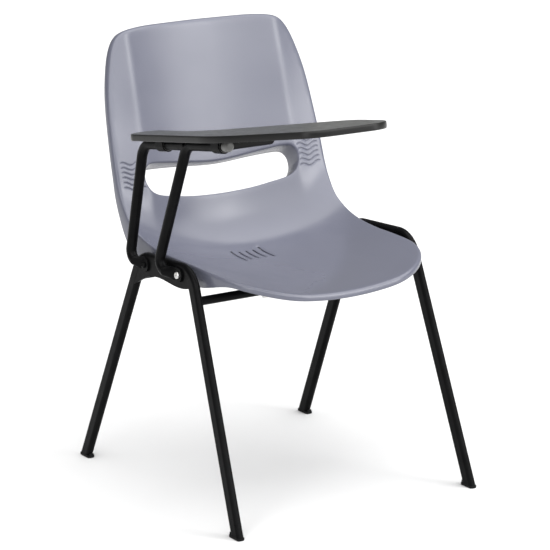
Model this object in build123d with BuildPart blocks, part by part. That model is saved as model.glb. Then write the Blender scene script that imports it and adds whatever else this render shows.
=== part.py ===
"""Student desk chair: a one-piece plastic shell on two steel side frames, with a writing
tablet that flips up on a lengthwise hinge rail. Millimetres.

The pieces are drawn with X = 0 in the seat's mid-plane, the chair facing -Y, and Z = 0 on
the floor. Each is then moved so that the origin is under the middle of the whole chair's box,
tablet included."""

import os
from math import atan, atan2, cos, degrees, sin

import numpy as np
from build123d import *

os.makedirs("parts", exist_ok=True)

# ---- Shell ---------------------------------------------------------------------------
# Stations run from the front of the seat to the top of the back. Each gives (y, z) of the
# upper surface on the centre line, on the crease and at the rim.
STATIONS = [
    ((-262, 402), (-262, 423), (-262, 440)),
    ((-180, 405), (-180, 425), (-180, 440.5)),
    ((-60, 400.5), (-62, 425), (-65, 444.5)),
    ((50, 398.5), (47, 423), (42, 447)),
    ((105, 403.5), (98, 431), (90, 455)),
    ((145, 425), (132, 449), (122, 467.5)),
    ((167, 458), (151, 477), (142, 483.5)),
    ((181, 498), (163, 510), (163.5, 516)),
    ((198.5, 558), (179, 562), (181, 562)),
    ((222, 642), (206, 643), (207, 643)),
    ((243, 717), (226.5, 717), (230, 717)),
    ((264, 791), (249, 791), (254, 789)),
    ((276, 833), (261, 833), (267, 831)),
]
CREASE_X = 162  # where the side facets turn up from the dished middle
RIM_X = 220
SHEET_X = 240  # half width of the sheet before trimming
CREASE_SOFTNESS = 4
SHELL_WALL = 4.2
SEAT_FLANGE = 12  # depth of the turned edge
BACK_FLANGE = 15
FRONT_Y = -241
FRONT_RADIUS = 128
SEAT_HALF_WIDTH = 217
ARM_REST_WIDTH = 221  # beside the rear arm bolt
BACK_HALF_WIDTH = 226
WAIST_Z = 455  # between the seat's edge and the back's
# The turned edge deepens into a skirt beside the frames. Side views (y, z) of the skirt's
# lower edge and of a line inside the turned edge that it grows from.
SKIRT_LOW = [(-185, 424), (-160, 422), (-137, 417), (-113, 411), (-90, 407), (-60, 405),
             (-20, 404.5), (30, 406), (75, 410), (115, 418), (148, 433), (166, 465), (177, 492),
             (184.5, 514), (189.5, 536), (194, 557)]
SKIRT_HIGH = [(-185, 426), (-146, 431.5), (-113, 434), (-95, 434.6), (-30, 435.5), (30, 437.5),
              (76, 444.5), (127, 454.2), (145, 476.4), (161.1, 497.4), (172, 517.7), (181, 537.8),
              (188, 557.8)]
# Front view of the slot, where its slanting sides meet the plane SLOT_Y.
SLOT_Y = 190
SLOT_TOP = [(0, 560), (80, 565.4), (143, 567.8)]
SLOT_END = [(162.5, 557), (167, 540)]
SLOT_FOOT = [(163, 520), (146, 503)]
SLOT_BOTTOM = [(80, 494), (0, 491.3)]
SLOT_SLANT = (0, 28, -18)  # its sides run back and down
SLOT_FLANGE = 46  # more than the flange's depth anywhere
SLOT_REACH = 17.7  # rear edge of the flange behind the surface on the centre line
VENT_WIDTH = 4
VENTS = [(-30, 50, 113), (-15, 57, 98), (0, 57, 98), (15, 57, 98), (30, 50, 113)]
BOSS_X = 95
BOSS_RADIUS = 12

# ---- Side frames ---------------------------------------------------------------------
FRAME_X = 249.5  # frame plane at the floor
FRAME_LEAN = 0.035  # inward per unit of height
FRAME_TOE = 0.008  # inward per unit of length, towards the rear
TUBE_DEPTH = 27
TUBE_WIDTH = 14
TUBE_WALL = 1.5
FRAME_CORNERS = [(-267, 0), (-92.7, 437.9), (80.8, 427), (274.2, 0)]
FRAME_BENDS = [45, 48]
FOOT_THICKNESS = 4.5
FOOT_WIDTH = 15
LIP_THICKNESS = 2
FOOT_LIP_HEIGHT = 4
FOOT_STEM = 28

# ---- Crossbars -----------------------------------------------------------------------
BAR_RADIUS = 8
BAR_WALL = 1.5
BAR_Z = 389.5
FRONT_BAR_Y = -112
REAR_BAR_Y = 97.8
SCREW_RADIUS = 3
SCREW_HEAD_RADIUS = 6
SCREW_HEAD = 4
WASHER = 1.5
BOSS_BITE = 9  # how far a screw's pilot hole reaches above its bar
BOSSES = [(x, y) for x in (-BOSS_X, BOSS_X) for y in (FRONT_BAR_Y, REAR_BAR_Y)]

# ---- Arm -----------------------------------------------------------------------------
ARM_X = -252
ARM_RADIUS = 9.5
ARM_WALL = 1.5
RAIL_Z = 652.5  # rail axis at Y = 0
RAIL_SLOPE = 0.1663  # rise per unit towards the front
UPPER_BEND = 38
LOWER_BEND = 18
TONGUE = 3.6
TONGUE_WIDTH = 25
FRONT_BOLT = (-62.6, 427.5)
REAR_BOLT = (54, 420.2)
FRONT_ELBOW = (-6, 431.4)
REAR_ELBOW = (89.5, 431.5)
FRONT_CORNER_Y = -109
REAR_CORNER_Y = 38.4
RAIL_END_Y = -234
BOLT_RADIUS = 3
BOLT_HEAD = 4
FRONT_HEAD_RADIUS = 6.5
REAR_HEAD_RADIUS = 5.5
BACKING = 2.5
NUT = 3.2
PLATE = 3

# ---- Tablet and its hinge, along the rail ---------------------------------------------
RUNNING = 0.06
LINER_WALL = 1
STRAP = 2
STRAP_LENGTH = 25
FLANGE_REACH = 25
CLAMPS = [34.8, 220]  # distance along the rail, towards the front
SUPPORT_AT = 181.5
SUPPORT_RADIUS = 7
SLEEVE_RADIUS = 12
SLEEVE_END_X = -123
SLEEVE_CAP = 5
PLUG_RADIUS = 9.5
PLUG_LENGTH = 14
PLUG_DOME = 5
PLUG_STEM = 16
TABLET_GAP = 12  # rail axis to underside
TABLET = 12
# Corners and their radii, across the rail and backwards along it: rear, then anticlockwise.
TABLET_CORNERS = [(8, 9), (-56, 9), (-56, -290), (42, -452), (203, -463), (203, -331), (8, -143)]
TABLET_RADII = [22, 34, 180, 60, 52, 62, 120]
BAND = 2.5
WOOD_SCREW_RADIUS = 1.9
WOOD_SCREW_LENGTH = 11
WOOD_SCREW_HEAD = 1.6
SCREW_PITCH = 14

# ---- Origin and planes -----------------------------------------------------------------
TO_ORIGIN = Location((24.4, 81.9, 0))  # from under the seat's middle to under the whole box's
RAIL_TILT = atan(RAIL_SLOPE)
RIGHT = Plane((FRAME_X, 0, 0), x_dir=(-FRAME_TOE, 1, 0), z_dir=(1, FRAME_TOE, FRAME_LEAN))
LEFT = Plane((-FRAME_X, 0, 0), x_dir=(FRAME_TOE, 1, 0), z_dir=(1, -FRAME_TOE, -FRAME_LEAN))
ARM = Plane((ARM_X, 0, 0), x_dir=(0, 1, 0), z_dir=(1, 0, 0))
HINGE = Plane(
    (ARM_X, 0, RAIL_Z), x_dir=(1, 0, 0), z_dir=(0, -cos(RAIL_TILT), sin(RAIL_TILT))
)
DESK = Plane((ARM_X, 0, RAIL_Z), x_dir=(1, 0, 0), z_dir=(0, sin(RAIL_TILT), cos(RAIL_TILT)))


def finish(builder, name):
    """Move a finished piece to the chair's own origin, label it and write it out."""
    piece = builder.part.moved(TO_ORIGIN)
    piece.label = name
    export_step(piece, f"parts/{name}.step")


def natural_spline(knots, values):
    """Natural cubic spline through values at knots, as a function of the parameter."""
    step = np.diff(knots)
    rise = np.diff(values, axis=0) / step[:, None]
    matrix = np.eye(len(knots))
    right = np.zeros_like(values)
    for i in range(1, len(knots) - 1):
        matrix[i, i - 1 : i + 2] = step[i - 1], 2 * (step[i - 1] + step[i]), step[i]
        right[i] = 6 * (rise[i] - rise[i - 1])
    bend = np.linalg.solve(matrix, right)

    def at(t):
        i = min(max(int(np.searchsorted(knots, t)) - 1, 0), len(step) - 1)
        a = (knots[i + 1] - t) / step[i]
        b = 1 - a
        curve = (a**3 - a) * bend[i] + (b**3 - b) * bend[i + 1]
        return a * values[i] + b * values[i + 1] + curve * step[i] ** 2 / 6

    return at


STATION_ARRAY = np.array(STATIONS, dtype=float)
ARC_LENGTH = np.concatenate(
    [[0], np.cumsum(np.linalg.norm(np.diff(STATION_ARRAY[:, 0], axis=0), axis=1))]
)
profile_at = natural_spline(ARC_LENGTH, STATION_ARRAY.reshape(len(STATIONS), 6))


def softplus(t):
    return CREASE_SOFTNESS * np.logaddexp(0, t / CREASE_SOFTNESS)


def sheet_point(t, x):
    """Point of the shell's upper surface at arc length t and cross position x."""
    centre, crease, rim = profile_at(t).reshape(3, 2)
    dish = crease - centre
    facet = rim - centre - dish * (RIM_X / CREASE_X) ** 2
    turn = softplus(abs(x) - CREASE_X) / softplus(RIM_X - CREASE_X)
    y, z = centre + dish * (x / CREASE_X) ** 2 + facet * turn
    return Vector(x, y, z)


right_half = [0, 25, 50, 75, 100, 125, 142, 152, 160, 168, 178, 194, 210, 225, SHEET_X]
across = [-x for x in reversed(right_half[1:])] + right_half
along = np.linspace(0, ARC_LENGTH[-1], 40)
sheet = Face.make_surface_from_array_of_points(
    [[sheet_point(t, x) for x in across] for t in along], tol=0.05
)


def seat_outline(inset):
    """Plan of the seat, open-ended behind the chair, as a sketch on the floor."""
    with BuildSketch() as plan:
        with Locations((0, FRONT_Y + 350 + inset)):
            Rectangle(2 * (SEAT_HALF_WIDTH - inset), 700)
        fillet(plan.vertices().group_by(Axis.Y)[0], FRONT_RADIUS - inset)
        with BuildLine():
            Polyline(
                (SEAT_HALF_WIDTH - inset, -20),
                (ARM_REST_WIDTH - inset, 60),
                (BACK_HALF_WIDTH - inset, 120),
                (BACK_HALF_WIDTH - inset, 460),
                (-BACK_HALF_WIDTH + inset, 460),
                (-BACK_HALF_WIDTH + inset, 120),
                (-ARM_REST_WIDTH + inset, 60),
                (-SEAT_HALF_WIDTH + inset, -20),
                close=True,
            )
        make_face()
    return plan.sketch


def back_outline(inset):
    """Front view of the back, open-ended below, as a sketch on Plane.XZ."""
    side = [(226, 446), (228, 532), (223, 637), (215, 707), (207, 741), (197, 771)]
    side = [(x - inset, z) for x, z in side]
    corner = (176 - inset * 0.6, 800.5 - inset * 0.8)
    top = [(140, 810.2 - inset), (70, 811.8 - inset)]
    with BuildSketch(Plane.XZ) as view:
        with BuildLine():
            edge = Spline(*side, corner, *top, (0, 812 - inset), tangents=[(0, 1), (-1, 0)])
            Line(edge @ 1, (0, 300))
            Line((0, 300), (side[0][0] + 20, 300))
            Polyline((side[0][0] + 20, 300), (side[0][0] + 20, 446), edge @ 0)
        make_face()
        mirror(about=Plane.YZ)
    return view.sketch


def slot_prism(grow):
    """Slanting prism through the slot, larger all round by the given amount."""
    top = [(x, z + grow) for x, z in SLOT_TOP]
    end = [(x + grow, z) for x, z in SLOT_END]
    foot = [(SLOT_FOOT[0][0] + grow * 0.7, SLOT_FOOT[0][1] - grow * 0.5)]
    foot.append((SLOT_FOOT[1][0], SLOT_FOOT[1][1] - grow))
    bottom = [(x, z - grow) for x, z in SLOT_BOTTOM]
    with BuildPart() as prism:
        with BuildSketch(Plane.XZ.offset(-SLOT_Y)):
            with BuildLine():
                upper = Spline(*top, tangents=[(1, 0), (1, 0.05)])
                turn = Spline(upper @ 1, *end, tangents=[(1, 0.05), (0, -1)])
                corner = Spline(turn @ 1, *foot, tangents=[(0, -1), (-1, -0.15)])
                lower = Spline(corner @ 1, *bottom, tangents=[(-1, -0.15), (-1, 0)])
                Line(lower @ 1, upper @ 0)
            make_face()
            mirror(about=Plane.YZ)
        extrude(amount=60, dir=SLOT_SLANT, both=True)
    return prism.part


def outline_prism(inset):
    """Everything inside the shell's outline, seen from above and from the front."""
    with BuildPart() as prism:
        extrude(seat_outline(inset), amount=900)
        extrude(back_outline(inset), amount=400, both=True, mode=Mode.INTERSECT)
    return prism.part


def trimmed_sheet(depth):
    """Sheet of the given depth behind the upper surface, trimmed to the outline."""
    with BuildPart() as body:
        thicken(sheet, amount=depth)
        add(outline_prism(0), mode=Mode.INTERSECT)
    return body.part


def turned_edge(depth):
    """Flange all round the shell."""
    with BuildPart() as rim:
        add(trimmed_sheet(depth))
        add(outline_prism(SHELL_WALL), mode=Mode.SUBTRACT)
    return rim.part


def slot_collar():
    """Flange round the slot, before the slot is cut. Its rear edge runs straight across."""
    rear = [(y + SLOT_REACH, z) for y, z in (station[0] for station in STATIONS[6:10])]
    with BuildPart() as collar:
        thicken(sheet, amount=SLOT_FLANGE)
        add(slot_prism(SHELL_WALL), mode=Mode.INTERSECT)
        with BuildSketch(Plane.YZ):
            with BuildLine():
                edge = Spline(*rear)
                Polyline(edge @ 1, (0, rear[-1][1]), (0, rear[0][1]), edge @ 0)
            make_face()
        extrude(amount=BACK_HALF_WIDTH, both=True, mode=Mode.INTERSECT)
    return collar.part


def skirt():
    """Deeper part of the turned edge, beside the frames and round the waist."""
    with BuildPart() as wall:
        with BuildSketch(Plane.YZ):
            with BuildLine():
                low = Spline(*SKIRT_LOW)
                high = Spline(*SKIRT_HIGH)
                Line(low @ 0, high @ 0)
                Line(low @ 1, high @ 1)
            make_face()
        extrude(amount=240, both=True)
        add(outline_prism(0), mode=Mode.INTERSECT)
        add(outline_prism(SHELL_WALL), mode=Mode.SUBTRACT)
    return wall.part


with BuildPart() as seat_shell:
    add(turned_edge(BACK_FLANGE))
    with Locations((0, 0, WAIST_Z)):
        Box(600, 800, 400, align=(Align.CENTER, Align.CENTER, Align.MIN), mode=Mode.INTERSECT)
    add(turned_edge(SEAT_FLANGE))
    add(skirt())
    add(trimmed_sheet(SHELL_WALL))
    add(slot_collar())
    add(slot_prism(0), mode=Mode.SUBTRACT)
    # Bosses under the seat stand on the crossbars.
    with BuildSketch(Plane.XY.offset(BAR_Z)):
        with Locations(*BOSSES):
            Circle(BOSS_RADIUS)
    extrude(until=Until.NEXT)
    # Each boss saddles its bar, with a blind pilot hole for the screw.
    for y in (FRONT_BAR_Y, REAR_BAR_Y):
        with BuildSketch(Plane.YZ):
            with Locations((y, BAR_Z)):
                Circle(BAR_RADIUS + 0.05)
        extrude(amount=BACK_HALF_WIDTH, both=True, mode=Mode.SUBTRACT)
    with BuildSketch(Plane.XY.offset(BAR_Z)):
        with Locations(*BOSSES):
            Circle(SCREW_RADIUS + 0.05)
    extrude(amount=BAR_RADIUS + BOSS_BITE, mode=Mode.SUBTRACT)
    for x, start, stop in VENTS:
        with BuildSketch(Plane.XY.offset(380)):
            with Locations((x, (start + stop) / 2)):
                SlotOverall(stop - start, VENT_WIDTH, rotation=90)
        extrude(amount=60, mode=Mode.SUBTRACT)
finish(seat_shell, "seat_shell")


# ---- Side frames ---------------------------------------------------------------------
def frame_path(plane):
    """Centre line of a side frame's tube: both legs and the arch between them."""
    with BuildLine(plane) as path:
        FilletPolyline(*FRAME_CORNERS, radius=FRAME_BENDS)
    return path.line


def leg_plane(plane, line):
    """Plane of the tube's section at its front end, with x in the frame's plane."""
    return Plane(line @ 0, x_dir=plane.z_dir.cross(line % 0), z_dir=line % 0)


def frame_solid(plane, wall=None):
    """Bent tube with its ends cut level on the feet; without a wall it is filled."""
    line = frame_path(plane)
    with BuildPart() as tube:
        with BuildSketch(leg_plane(plane, line)):
            SlotOverall(TUBE_DEPTH, TUBE_WIDTH)
            if wall:
                SlotOverall(TUBE_DEPTH - 2 * wall, TUBE_WIDTH - 2 * wall, mode=Mode.SUBTRACT)
        sweep(path=line)
        split(bisect_by=Plane.XY.offset(FOOT_THICKNESS), keep=Keep.TOP)
    return tube.part


with BuildPart() as side_frame_right:
    add(frame_solid(RIGHT, TUBE_WALL))
finish(side_frame_right, "side_frame_right")

with BuildPart() as side_frame_left:
    add(frame_solid(LEFT, TUBE_WALL))
    with BuildSketch(LEFT):
        with Locations(FRONT_BOLT, REAR_BOLT):
            Circle(BOLT_RADIUS + 0.1)
    extrude(amount=TUBE_WIDTH, both=True, mode=Mode.SUBTRACT)
finish(side_frame_left, "side_frame_left")


# ---- Crossbars and their screws --------------------------------------------------------
def crossbar(y):
    """Round bar between the side frames' inner faces, drilled for the seat screws."""
    with BuildPart() as bar:
        with BuildSketch(Plane.YZ):
            with Locations((y, BAR_Z)):
                Circle(BAR_RADIUS)
                Circle(BAR_RADIUS - BAR_WALL, mode=Mode.SUBTRACT)
        extrude(amount=FRAME_X)
        split(bisect_by=RIGHT.offset(-TUBE_WIDTH / 2), keep=Keep.BOTTOM)
        mirror(about=Plane.YZ)
        with BuildSketch(Plane.XY.offset(BAR_Z)):
            with Locations((-BOSS_X, y), (BOSS_X, y)):
                Circle(SCREW_RADIUS + 0.2)
        extrude(amount=BAR_RADIUS, both=True, mode=Mode.SUBTRACT)
    return bar.part


for name, y in (("front_crossbar", FRONT_BAR_Y), ("rear_crossbar", REAR_BAR_Y)):
    with BuildPart() as bar:
        add(crossbar(y))
    finish(bar, name)

saddle_z = BAR_Z - BAR_RADIUS - WASHER  # underside of the saddle washers
with BuildPart() as seat_washers:
    with BuildSketch(Plane.XY.offset(saddle_z)):
        with Locations(*BOSSES):
            Circle(SCREW_HEAD_RADIUS)
            Circle(SCREW_RADIUS + 0.2, mode=Mode.SUBTRACT)
    extrude(amount=WASHER + BAR_RADIUS / 2)
    for y in (FRONT_BAR_Y, REAR_BAR_Y):
        with BuildSketch(Plane.YZ):
            with Locations((y, BAR_Z)):
                Circle(BAR_RADIUS + 0.02)
        extrude(amount=BACK_HALF_WIDTH, both=True, mode=Mode.SUBTRACT)
finish(seat_washers, "seat_washers")

with BuildPart() as seat_screws:
    with BuildSketch(Plane.XY.offset(saddle_z)):
        with Locations(*BOSSES):
            Circle(SCREW_HEAD_RADIUS)
    extrude(amount=-SCREW_HEAD)
    fillet(seat_screws.edges().group_by(Axis.Z)[0], 2)
    with BuildSketch(Plane.XY.offset(saddle_z)):
        with Locations(*BOSSES):
            Circle(SCREW_RADIUS)
    extrude(amount=WASHER + 2 * BAR_RADIUS + BOSS_BITE - 1)
    with BuildSketch(Plane.XY.offset(saddle_z - SCREW_HEAD)):
        with Locations(*BOSSES):
            RegularPolygon(2, 6)
    extrude(amount=2, mode=Mode.SUBTRACT)
finish(seat_screws, "seat_screws")


# ---- Feet ----------------------------------------------------------------------------
def foot(end, inward, mirrored):
    """Plastic glide: a stem up the tube, a flange under it and a lip on its inner side."""
    line = frame_path(RIGHT)
    toe = line @ end
    up = (line % end) * (1 if end == 0 else -1)
    tube_half = TUBE_DEPTH / 2 / up.Z
    lean = abs(up.Y) / up.Z
    lip_start = tube_half + lean * (FOOT_THICKNESS + FOOT_LIP_HEIGHT) + 0.3
    pad_start = -tube_half + lean * FOOT_THICKNESS - 0.3  # flush with the tube outside
    pad_stop = lip_start + LIP_THICKNESS + 0.6
    pad_middle = toe.Y + inward * (pad_start + pad_stop) / 2
    with BuildPart() as glide:
        with BuildSketch(Plane(toe + up * 2, x_dir=RIGHT.z_dir.cross(up), z_dir=up)):
            SlotOverall(TUBE_DEPTH - 2 * TUBE_WALL - 0.2, TUBE_WIDTH - 2 * TUBE_WALL - 0.2)
        extrude(amount=FOOT_STEM)
        split(bisect_by=Plane.XY.offset(FOOT_THICKNESS / 2), keep=Keep.TOP)
        with BuildSketch(Plane((toe.X, pad_middle, 0), x_dir=(-FRAME_TOE, 1, 0))):
            RectangleRounded(pad_stop - pad_start, FOOT_WIDTH, FOOT_WIDTH * 0.35)
        extrude(amount=FOOT_THICKNESS)
        fillet(glide.faces().sort_by(Axis.Z)[0].edges(), 1.2)
        lip_middle = toe.Y + inward * (lip_start + LIP_THICKNESS / 2)
        with BuildSketch(Plane((toe.X, lip_middle, FOOT_THICKNESS))):
            RectangleRounded(FOOT_WIDTH * 0.6, LIP_THICKNESS, 0.8)
        extrude(amount=FOOT_LIP_HEIGHT)
        if mirrored:
            mirror(about=Plane.YZ, mode=Mode.REPLACE)
    return glide.part


for side, mirrored in (("right", False), ("left", True)):
    for place, end, inward in (("front", 0, 1), ("rear", 1, -1)):
        with BuildPart() as glide:
            add(foot(end, inward, mirrored))
        finish(glide, f"foot_{place}_{side}")

# ---- Arm plates and fasteners ------------------------------------------------------------
with BuildPart() as arm_side_plate:
    with BuildSketch(LEFT.offset(-TUBE_WIDTH / 2)):
        with BuildLine():
            edge = Spline((95, 376), (70, 388.5), (42, 401), (10, 406.5), (-30, 405), (-98, 411))
            Polyline(edge @ 1, (-80, 436), (70, 427), edge @ 0)
        make_face()
    extrude(amount=PLATE)
    add(frame_solid(LEFT), mode=Mode.SUBTRACT)
    with BuildSketch(LEFT):
        with Locations(FRONT_BOLT, REAR_BOLT):
            Circle(BOLT_RADIUS + 0.1)
    extrude(amount=-TUBE_WIDTH, mode=Mode.SUBTRACT)
    add(arm_side_plate.solids().sort_by(SortBy.VOLUME)[-1], mode=Mode.INTERSECT)
finish(arm_side_plate, "arm_side_plate")

with BuildPart() as arm_backing_plate:
    with BuildSketch(LEFT.offset(TUBE_WIDTH / 2)):
        middle = (Vector(*FRONT_BOLT) + Vector(*REAR_BOLT)) / 2
        span = Vector(*REAR_BOLT) - Vector(*FRONT_BOLT)
        with Locations(Location((middle.X, middle.Y + 3, 0), (0, 0, degrees(atan(span.Y / span.X))))):
            SlotOverall(span.length + 22, 22)
        with Locations(FRONT_BOLT, REAR_BOLT):
            Circle(BOLT_RADIUS + 0.1, mode=Mode.SUBTRACT)
    extrude(amount=BACKING)
finish(arm_backing_plate, "arm_backing_plate")


def arm_bolt(centre, head_radius):
    """Domed bolt through the arm's tongue, the frame tube and the backing plate."""
    outer = -TUBE_WIDTH / 2 - TONGUE
    with BuildPart() as bolt:
        with BuildSketch(LEFT.offset(outer)):
            with Locations(centre):
                Circle(head_radius)
        extrude(amount=-BOLT_HEAD)
        fillet(bolt.faces().sort_by(Axis.X)[0].edges(), BOLT_HEAD * 0.6)
        with BuildSketch(LEFT.offset(outer)):
            with Locations(centre):
                Circle(BOLT_RADIUS)
        extrude(amount=TUBE_WIDTH + TONGUE + BACKING + NUT + 0.4)
        with BuildSketch(LEFT.offset(outer - BOLT_HEAD)):
            with Locations(centre):
                RegularPolygon(2.3, 6)
        extrude(amount=BOLT_HEAD * 0.6, mode=Mode.SUBTRACT)
    return bolt.part


for name, centre, head_radius in (
    ("arm_bolt_front", FRONT_BOLT, FRONT_HEAD_RADIUS),
    ("arm_bolt_rear", REAR_BOLT, REAR_HEAD_RADIUS),
):
    with BuildPart() as bolt:
        add(arm_bolt(centre, head_radius))
    finish(bolt, name)

with BuildPart() as arm_nuts:
    with BuildSketch(LEFT.offset(TUBE_WIDTH / 2 + BACKING)):
        with Locations(FRONT_BOLT, REAR_BOLT):
            RegularPolygon(5, 6, major_radius=False)
            Circle(BOLT_RADIUS + 0.02, mode=Mode.SUBTRACT)
    extrude(amount=NUT)
finish(arm_nuts, "arm_nuts")


# ---- Arm tubes -----------------------------------------------------------------------
def rail_point(y):
    return (y, RAIL_Z - RAIL_SLOPE * y)


def arm_path(start, elbow, corner_y, end_y):
    """Centre line of an arm tube, from its crimped end up to the rail and along it."""
    with BuildLine(ARM) as path:
        FilletPolyline(
            start, elbow, rail_point(corner_y), rail_point(end_y), radius=[LOWER_BEND, UPPER_BEND]
        )
    return path.line


def tube_along(line, radius, bore=None):
    with BuildPart() as tube:
        with BuildSketch(Plane(line @ 0, z_dir=line % 0)):
            Circle(radius)
            if bore:
                Circle(bore, mode=Mode.SUBTRACT)
        sweep(path=line)
    return tube.part


def crimped_end(line, bolt, head_radius):
    """Flattened tongue: the round tube closes down onto the frame's outer face."""
    start = line @ 0
    local = LEFT.to_local_coords(start)
    run = Vector(bolt[0] - local.X, bolt[1] - local.Y).normalized()
    flat = Vector(*bolt) - run * (head_radius + 1.5)
    centre = LEFT.offset(-TUBE_WIDTH / 2 - TONGUE / 2).from_local_coords((flat.X, flat.Y))
    heading = LEFT.from_local_coords(run) - LEFT.origin
    with BuildPart() as end:
        with BuildSketch(Plane(start, x_dir=LEFT.z_dir, z_dir=line % 0)):
            Circle(ARM_RADIUS)
        with BuildSketch(Plane(centre, x_dir=LEFT.z_dir, z_dir=-heading)):
            RectangleRounded(TONGUE, TONGUE_WIDTH, TONGUE * 0.4)
        loft()
        with BuildSketch(LEFT.offset(-TUBE_WIDTH / 2)):
            with Locations(Location((*bolt, 0), (0, 0, degrees(atan2(run.Y, run.X))))):
                with Locations((-head_radius / 2 - 1, 0)):
                    SlotCenterToCenter(head_radius + 2, TONGUE_WIDTH)
        extrude(amount=-TONGUE)
        with BuildSketch(LEFT):
            with Locations(bolt):
                Circle(BOLT_RADIUS + 0.1)
        extrude(amount=-3 * TUBE_WIDTH, mode=Mode.SUBTRACT)
    return end.part


front_line = arm_path((-32, 429.6), FRONT_ELBOW, FRONT_CORNER_Y, RAIL_END_Y)
rear_line = arm_path((73, 426.2), REAR_ELBOW, REAR_CORNER_Y, FRONT_CORNER_Y)
with BuildPart() as arm_tube_front:
    add(tube_along(front_line, ARM_RADIUS, ARM_RADIUS - ARM_WALL))
    add(crimped_end(front_line, FRONT_BOLT, FRONT_HEAD_RADIUS))
finish(arm_tube_front, "arm_tube_front")

# The rear tube's rail run is coped into the front tube's bend and welded there.
with BuildPart() as arm_tube_rear:
    add(tube_along(rear_line, ARM_RADIUS, ARM_RADIUS - ARM_WALL))
    add(crimped_end(rear_line, REAR_BOLT, REAR_HEAD_RADIUS))
    add(tube_along(front_line, ARM_RADIUS), mode=Mode.SUBTRACT)
    add(arm_tube_rear.solids().sort_by(SortBy.VOLUME)[-1], mode=Mode.INTERSECT)
finish(arm_tube_rear, "arm_tube_rear")

# ---- Rail end plug and tablet support ----------------------------------------------------
rail_end = abs(RAIL_END_Y) / cos(RAIL_TILT)
with BuildPart() as rail_end_plug:
    with BuildSketch(HINGE.offset(rail_end)):
        Circle(PLUG_RADIUS)
    extrude(amount=PLUG_LENGTH)
    fillet(rail_end_plug.faces().sort_by(Axis.Y)[0].edges(), PLUG_DOME)
    with BuildSketch(HINGE.offset(rail_end)):
        Circle(ARM_RADIUS - ARM_WALL - 0.05)
    extrude(amount=-PLUG_STEM)
finish(rail_end_plug, "rail_end_plug")

support_plane = Plane(
    HINGE.origin + HINGE.z_dir * SUPPORT_AT, x_dir=HINGE.z_dir, z_dir=(1, 0, 0)
)
support_length = SLEEVE_END_X - ARM_X
with BuildPart() as support_arm:
    with BuildSketch(support_plane):
        Circle(SUPPORT_RADIUS)
    extrude(amount=support_length - SLEEVE_CAP)
    add(tube_along(front_line, ARM_RADIUS), mode=Mode.SUBTRACT)
finish(support_arm, "support_arm")

with BuildPart() as support_sleeve:
    with BuildSketch(support_plane.offset(ARM_RADIUS + 2)):
        Circle(SLEEVE_RADIUS)
    extrude(amount=support_length - ARM_RADIUS - 2)
    fillet(support_sleeve.faces().sort_by(Axis.X)[-1].edges(), SLEEVE_CAP)
    with BuildSketch(support_plane):
        Circle(SUPPORT_RADIUS + 0.05)
    extrude(amount=support_length - SLEEVE_CAP, mode=Mode.SUBTRACT)
finish(support_sleeve, "support_sleeve")


# ---- Hinge clamps --------------------------------------------------------------------
def clamp_strap(at):
    """Saddle strap round the rail, its two flanges flat against the tablet."""
    outer = ARM_RADIUS + RUNNING + LINER_WALL + STRAP
    with BuildPart() as strap:
        with BuildSketch(HINGE.offset(at - STRAP_LENGTH / 2)):
            Circle(outer)
            with Locations((0, TABLET_GAP / 2)):
                Rectangle(2 * outer, TABLET_GAP)
            with Locations((0, TABLET_GAP - STRAP / 2)):
                Rectangle(2 * FLANGE_REACH, STRAP)
            Circle(outer - STRAP, mode=Mode.SUBTRACT)
            with Locations((0, TABLET_GAP / 2)):
                Rectangle(2 * (outer - STRAP), TABLET_GAP, mode=Mode.SUBTRACT)
            with Locations((0, TABLET_GAP + outer)):
                Rectangle(2 * outer, 2 * outer, mode=Mode.SUBTRACT)
        extrude(amount=STRAP_LENGTH)
        with BuildSketch(DESK.offset(TABLET_GAP)):
            with Locations(*clamp_holes(at)):
                Circle(WOOD_SCREW_RADIUS + 0.2)
        extrude(amount=-STRAP, mode=Mode.SUBTRACT)
    return strap.part


def clamp_holes(at):
    """Screw places of one clamp, in the tablet's own plane."""
    reach = (FLANGE_REACH + ARM_RADIUS + RUNNING + LINER_WALL + STRAP) / 2
    return [(x, -at + y) for x in (-reach, reach) for y in (-SCREW_PITCH / 2, SCREW_PITCH / 2)]


for name, at in zip(("hinge_clamp_rear", "hinge_clamp_front"), CLAMPS):
    with BuildPart() as strap:
        add(clamp_strap(at))
    finish(strap, name)

for name, at in zip(("hinge_liner_rear", "hinge_liner_front"), CLAMPS):
    with BuildPart() as liner:
        with BuildSketch(HINGE.offset(at - STRAP_LENGTH / 2)):
            Circle(ARM_RADIUS + RUNNING + LINER_WALL)
            Circle(ARM_RADIUS + RUNNING, mode=Mode.SUBTRACT)
        extrude(amount=STRAP_LENGTH)
    finish(liner, name)

all_holes = clamp_holes(CLAMPS[0]) + clamp_holes(CLAMPS[1])
with BuildPart() as clamp_screws:
    with BuildSketch(DESK.offset(TABLET_GAP - STRAP)):
        with Locations(*all_holes):
            Circle(WOOD_SCREW_RADIUS * 2)
    extrude(amount=-WOOD_SCREW_HEAD)
    with BuildSketch(DESK.offset(TABLET_GAP - STRAP)):
        with Locations(*all_holes):
            Circle(WOOD_SCREW_RADIUS)
    extrude(amount=WOOD_SCREW_LENGTH - STRAP)
finish(clamp_screws, "clamp_screws")


# ---- Tablet --------------------------------------------------------------------------
def tablet_outline(inset):
    """Paddle shape: a narrow armrest that widens into the writing surface."""
    with BuildSketch(DESK.offset(TABLET_GAP)) as plan:
        with BuildLine():
            FilletPolyline(*TABLET_CORNERS, radius=TABLET_RADII, close=True)
        make_face()
        if inset:
            offset(amount=-inset, mode=Mode.REPLACE)
    return plan.sketch


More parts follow.
